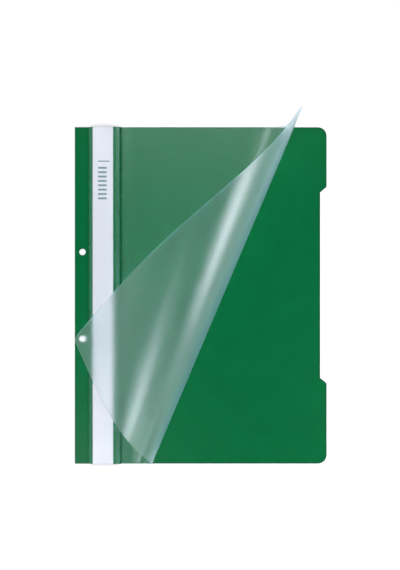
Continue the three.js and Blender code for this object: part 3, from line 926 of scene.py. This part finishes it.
class FOLDER_OT_fastener(FolderOperator):
    """Finish the fastener: carrier, prongs, bar and slide locks"""

    bl_idname = "folder.make_fastener"
    bl_label = "Fastener"

    def execute(self, context):
        colours = context.scene.folder_colours
        green = bpy.data.materials["green_sheet"]
        steel, plastic = prong_steel(colours), white_plastic(colours)
        dress("carrier_strip", green)
        for node in ("prong_base", "prong_upper", "prong_lower"):
            dress(node, steel, PRONG_BEVEL)
        for node in ("compressor_bar", "slide_lock_upper", "slide_lock_lower"):
            dress(node, plastic)
        self.prong_ribs(steel)
        self.bar_ribs(plastic)
        self.lock_grips(plastic)
        self.carrier_welds(bpy.data.materials["shade_and_weld_green"])
        return {"FINISHED"}

    def ribs(self, name, finish, body, slot, places):
        """Low rounded ribs, each (x from, x to, y from, y to, base, rise), as one piece."""
        bm = bmesh.new()
        for x0, x1, y0, y1, base, rise in places:
            loops = []
            for i in range(RIB_STEPS + 1):
                share = i / RIB_STEPS
                y = y0 + (y1 - y0) * share
                z = base + rise * math.sin(math.pi * share) ** RIB_FULLNESS
                loops.append([bm.verts.new((x, y, z)) for x in (x0, x1)])
            for a, b in zip(loops, loops[1:]):
                bm.faces.new((a[0], a[1], b[1], b[0]))
            for k in (0, 1):
                bm.faces.new([loop[k] for loop in loops])
            bm.faces.new((loops[0][0], loops[0][1], loops[-1][1], loops[-1][0]))
        return finished(name, bm, [finish], body)

    def prong_ribs(self, finish):
        """A stiffening rib pressed along the middle of each prong."""
        for node in ("prong_upper", "prong_lower"):
            low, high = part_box(node)
            middle = (low.x + high.x) / 2
            arch = low_arch(middle - PRONG_RIB_HALF, middle + PRONG_RIB_HALF, high.z, PRONG_RIB_RISE)
            bm = bead_mesh(arch, low.y + PRONG_RIB_END, high.y - PRONG_RIB_END)
            finished(f"{node}_rib", bm, [finish], node)

    def bar_ribs(self, finish):
        """Cross ribs in the middle of the bar, between the prongs' tips."""
        left, right = BAR_LOW.x + BAR_RIB_INSET, BAR_HIGH.x - BAR_RIB_INSET
        places = [(left, right, y * MM - BAR_RIB_HALF, y * MM + BAR_RIB_HALF, BAR_HIGH.z, BAR_RIB_RISE)
                  for y in BAR_RIB_PLACES]
        self.ribs("bar_ribs", finish, "folder", "white_plastic", places)

    def lock_grips(self, finish):
        """Three grip ribs on each slide lock."""
        for node, body in (("slide_lock_upper", "lock_upper"), ("slide_lock_lower", "lock_lower")):
            low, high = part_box(node)
            left, right = low.x + GRIP_INSET, high.x - GRIP_INSET
            middles = [(low.y + high.y) / 2 + y * MM for y in GRIP_PLACES]
            places = [(left, right, y - GRIP_HALF, y + GRIP_HALF, high.z, GRIP_RISE) for y in middles]
            self.ribs(f"{node}_grip", finish, body, "white_plastic", places)

    def carrier_welds(self, finish):
        """Weld marks along both edges of the carrier."""
        top = BACK_HIGH.z + CARRIER_THICKNESS
        places = []
        for x in (CARRIER_LOW.x + MARK_INSET, CARRIER_HIGH.x - MARK_INSET - MARK_LENGTH):
            for i in range(-MARKS_EACH_WAY, MARKS_EACH_WAY + 1):
                y = i * MARK_STEP
                places.append((x, x + MARK_LENGTH, y - MARK_HALF, y + MARK_HALF, top, MARK_RISE))
        self.ribs("carrier_welds", finish, "folder", "green_sheet", places)


class FOLDER_OT_stage(FolderOperator):
    """Make the floor, the world, the lamps and the camera"""

    bl_idname = "folder.make_stage"
    bl_label = "Studio"

    def execute(self, context):
        studio = context.scene.folder_studio
        self.floor(studio)
        self.world(context.scene, studio)
        for name, place in LAMPS.items():
            self.lamp(name, *place, studio.lamp_level)
        data = bpy.data.cameras.new("camera")
        data.lens = studio.lens
        data.sensor_width = SENSOR_WIDTH
        camera = bpy.data.objects.new("camera", data)
        camera.location = studio.camera
        context.scene.collection.objects.link(camera)
        context.scene.camera = camera
        context.scene.view_settings.view_transform = "Standard"
        return {"FINISHED"}

    def floor(self, studio):
        """A pale floor with a glow that only the picture, mirrors and views through the film see."""
        half = studio.floor / 2
        bm = bmesh.new()
        corners = [(-half, -half), (half, -half), (half, half), (-half, half)]
        bm.faces.new([bm.verts.new((x, y, -FLOOR_GAP)) for x, y in corners])
        mesh = bpy.data.meshes.new("floor")
        bm.to_mesh(mesh)
        bm.free()
        material, nodes, links, output = node_finish("floor")
        paper = nodes.new("ShaderNodeBsdfDiffuse")
        paper.inputs["Color"].default_value = FLOOR_PAINT
        glow = nodes.new("ShaderNodeEmission")
        light = nodes.new("ShaderNodeLightPath")
        seen = calculate(nodes, links, "MAXIMUM", light.outputs["Is Camera Ray"],
                         light.outputs["Is Transmission Ray"])
        seen = calculate(nodes, links, "MAXIMUM", seen, light.outputs["Is Glossy Ray"])
        links.new(calculate(nodes, links, "MULTIPLY", seen, studio.floor_lift), glow.inputs["Strength"])
        both = nodes.new("ShaderNodeAddShader")
        links.new(paper.outputs["BSDF"], both.inputs[0])
        links.new(glow.outputs["Emission"], both.inputs[1])
        links.new(both.outputs["Shader"], output.inputs["Surface"])
        mesh.materials.append(material)
        new_object("floor", mesh)

    def world(self, scene, studio):
        """A world that lights from low down and not from overhead, and shows white in the picture."""
        world = bpy.data.worlds.new("studio")
        world.use_nodes = True
        nodes, links = world.node_tree.nodes, world.node_tree.links
        nodes.clear()
        place = nodes.new("ShaderNodeTexCoord")
        split = nodes.new("ShaderNodeSeparateXYZ")
        links.new(place.outputs["Generated"], split.inputs["Vector"])
        fade = nodes.new("ShaderNodeMapRange")
        fade.interpolation_type = "SMOOTHSTEP"
        fade.inputs["From Min"].default_value = math.sin(math.radians(PALE_UNDER))
        fade.inputs["From Max"].default_value = math.sin(math.radians(DARK_OVER))
        fade.inputs["To Min"].default_value = studio.horizon
        fade.inputs["To Max"].default_value = studio.zenith
        links.new(split.outputs["Z"], fade.inputs["Value"])
        shade = nodes.new("ShaderNodeBackground")
        shade.inputs["Color"].default_value = (1, 1, 1, 1)
        light = nodes.new("ShaderNodeLightPath")
        level = calculate(nodes, links, "MAXIMUM", fade.outputs["Result"], light.outputs["Is Camera Ray"])
        links.new(level, shade.inputs["Strength"])
        output = nodes.new("ShaderNodeOutputWorld")
        links.new(shade.outputs["Background"], output.inputs["Surface"])
        scene.world = world

    def lamp(self, name, aim, azimuth, elevation, distance, width, height, power, tint, level):
        """A soft lamp aimed at a place, seen from there at an azimuth and an elevation in degrees."""
        flat, rise = math.radians(azimuth), math.radians(elevation)
        toward = Vector((math.cos(rise) * math.cos(flat), math.cos(rise) * math.sin(flat), math.sin(rise)))
        data = bpy.data.lights.new(name, "AREA")
        data.shape = "RECTANGLE"
        data.size = width
        data.size_y = height
        data.energy = power * level
        data.color = tint
        lamp = bpy.data.objects.new(name, data)
        lamp.location = Vector(aim) + toward * distance
        lamp.rotation_euler = toward.to_track_quat("Z", "Y").to_euler()
        bpy.context.scene.collection.objects.link(lamp)


class FOLDER_PT_panel(bpy.types.Panel):
    """Lists the folder's operators and sizes"""

    bl_label = "Fastener Folder"
    bl_idname = "FOLDER_PT_panel"
    bl_space_type = "VIEW_3D"
    bl_region_type = "UI"
    bl_category = "Folder"

    def draw(self, context):
        for operator in OPERATORS:
            self.layout.operator(operator.bl_idname)
        for name, kind in GROUPS.items():
            box = self.layout.box()
            box.label(text=kind.__doc__)
            for field in kind.__annotations__:
                box.prop(getattr(context.scene, name), field)


GROUPS = {
    "folder_sheets": FolderSheetSizes,
    "folder_film": FolderFilmSizes,
    "folder_colours": FolderColours,
    "folder_studio": FolderStudioSettings,
}
OPERATORS = (FOLDER_OT_sheets, FOLDER_OT_flap, FOLDER_OT_film, FOLDER_OT_fastener, FOLDER_OT_stage)


def register():
    """Adds the folder's classes and its settings to Blender."""
    for kind in (*GROUPS.values(), *OPERATORS, FOLDER_PT_panel):
        bpy.utils.register_class(kind)
    for name, kind in GROUPS.items():
        setattr(bpy.types.Scene, name, PointerProperty(type=kind))


def unregister():
    """Takes the folder's classes and its settings out of Blender."""
    for name in GROUPS:
        delattr(bpy.types.Scene, name)
    for kind in (FOLDER_PT_panel, *reversed(OPERATORS), *reversed(GROUPS.values())):
        bpy.utils.unregister_class(kind)


def main():
    """Builds the folder and its studio."""
    register()
    bpy.ops.folder.make_stage()
    bpy.ops.folder.make_sheets()
    bpy.ops.folder.make_flap()
    bpy.ops.folder.make_film()
    bpy.ops.folder.make_fastener()


if __name__ == "__main__":
    main()
